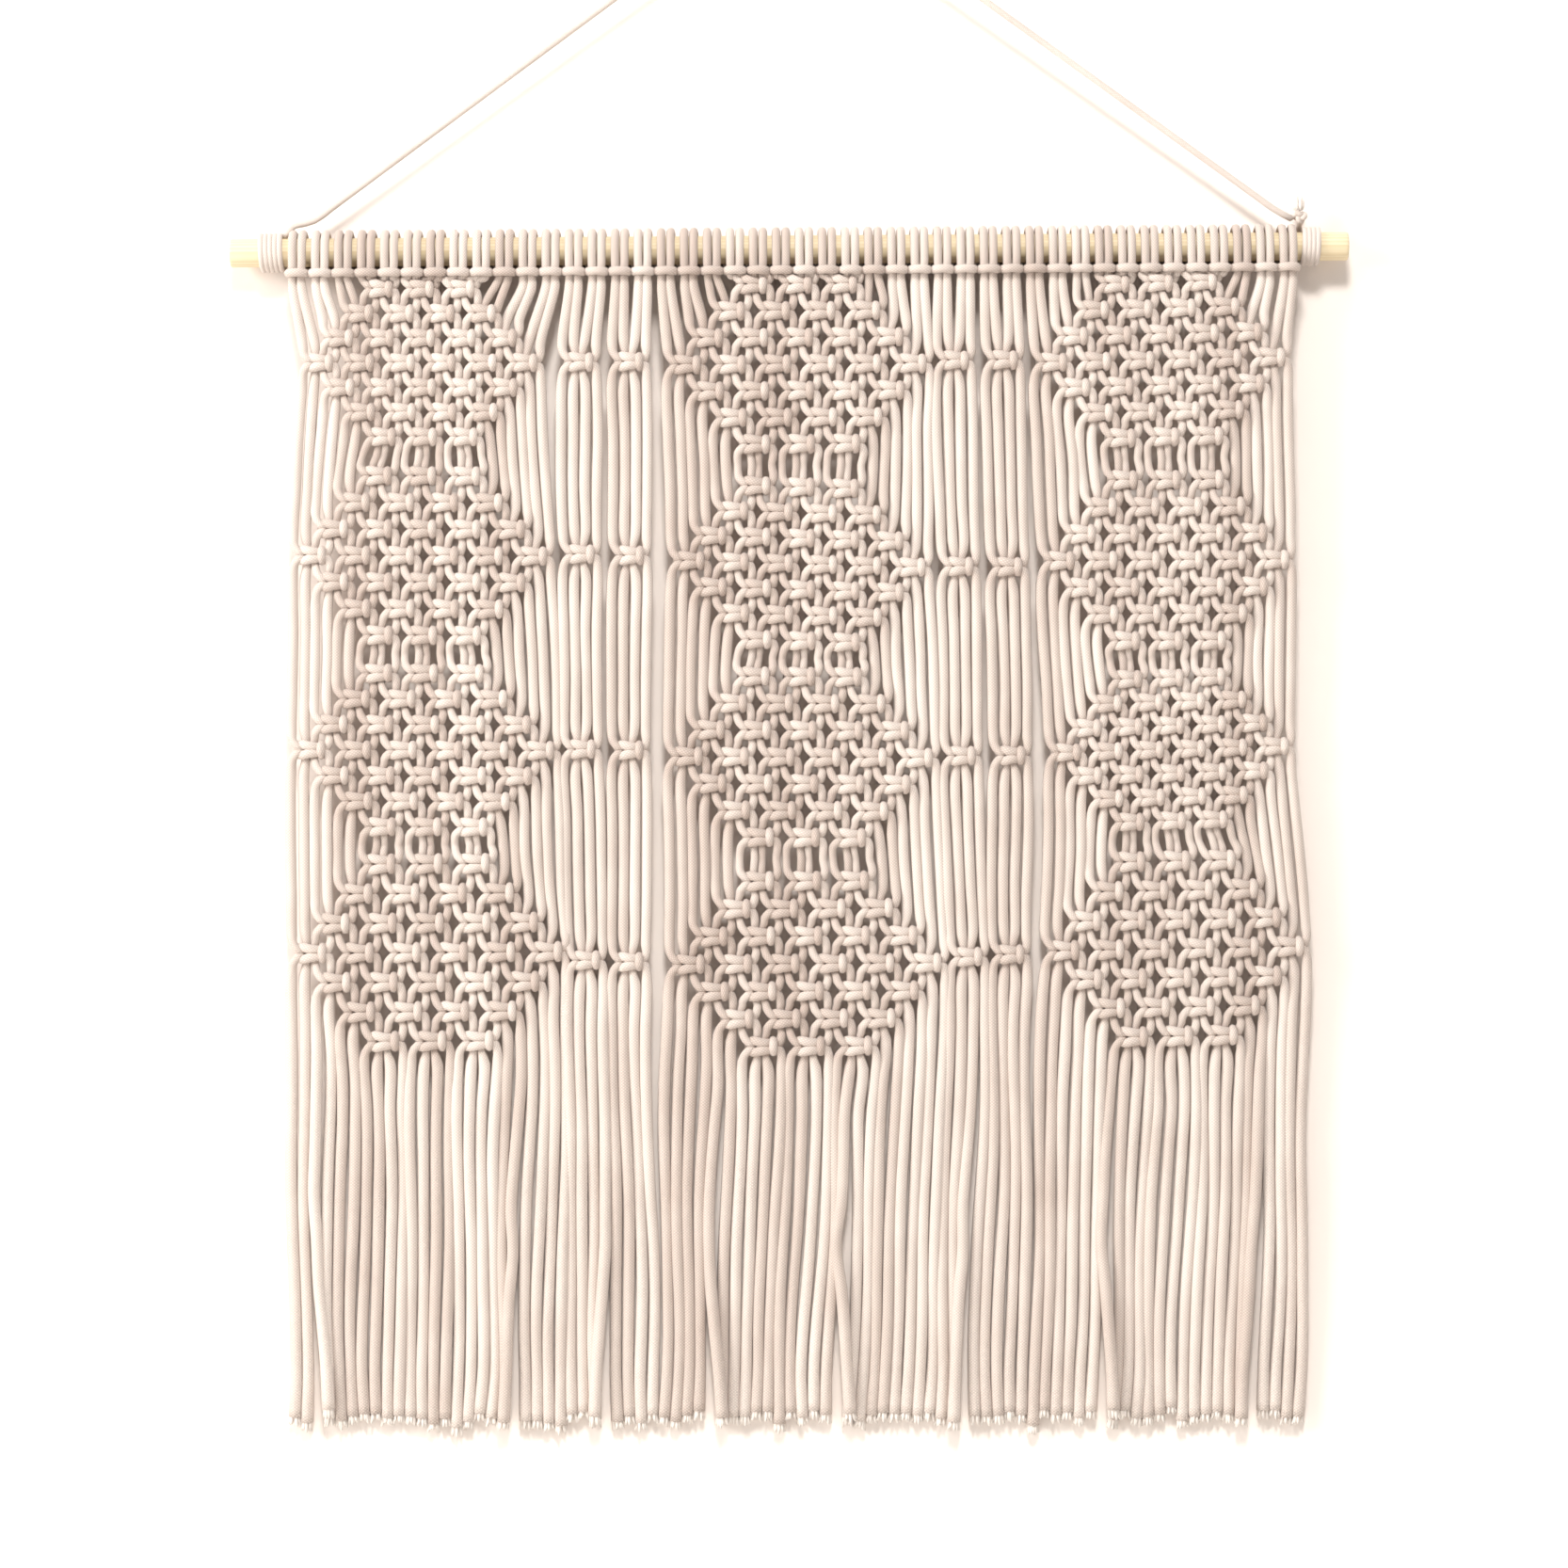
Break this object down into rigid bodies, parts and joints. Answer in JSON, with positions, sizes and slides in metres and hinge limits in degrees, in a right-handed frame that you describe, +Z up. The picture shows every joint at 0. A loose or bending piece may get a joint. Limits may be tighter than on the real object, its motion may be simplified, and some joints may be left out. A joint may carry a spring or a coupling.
{
  "type": "macrame wall hanging with a wooden dowel",
  "caption": "Macrame wall hanging of knotted cotton cord on a wooden dowel: diamond-edged knotted panels joined by loose cords, a straight fringe, and a cord to hang it by.",
  "frame": {"origin": "the hang point: the underside of the hanging cord's apex, where it rests on the hook or nail that holds the part up", "axes": "+X along the dowel to the right as seen from the front, +Z up, and the front of the knotting faces -Y"},
  "size_m": [0.5, 0.0211, 0.6921],
  "materials": {
    "cotton": "matt cotton cord",
    "wood": "bare sanded softwood"
  },
  "bodies": {
    "root": {"dowel": "wood", "panel_left": "cotton", "panel_middle": "cotton", "panel_right": "cotton", "fringe_left": "cotton", "fringe_middle": "cotton", "fringe_right": "cotton", "ladder_1": "cotton", "ladder_2": "cotton", "ladder_3": "cotton", "ladder_4": "cotton", "tail_1": "cotton", "tail_2": "cotton", "tail_3": "cotton", "tail_4": "cotton", "wrap_left": "cotton", "wrap_right": "cotton", "end_knot": "cotton", "hanging_cord": "cotton"}
  },
  "joints": []
}
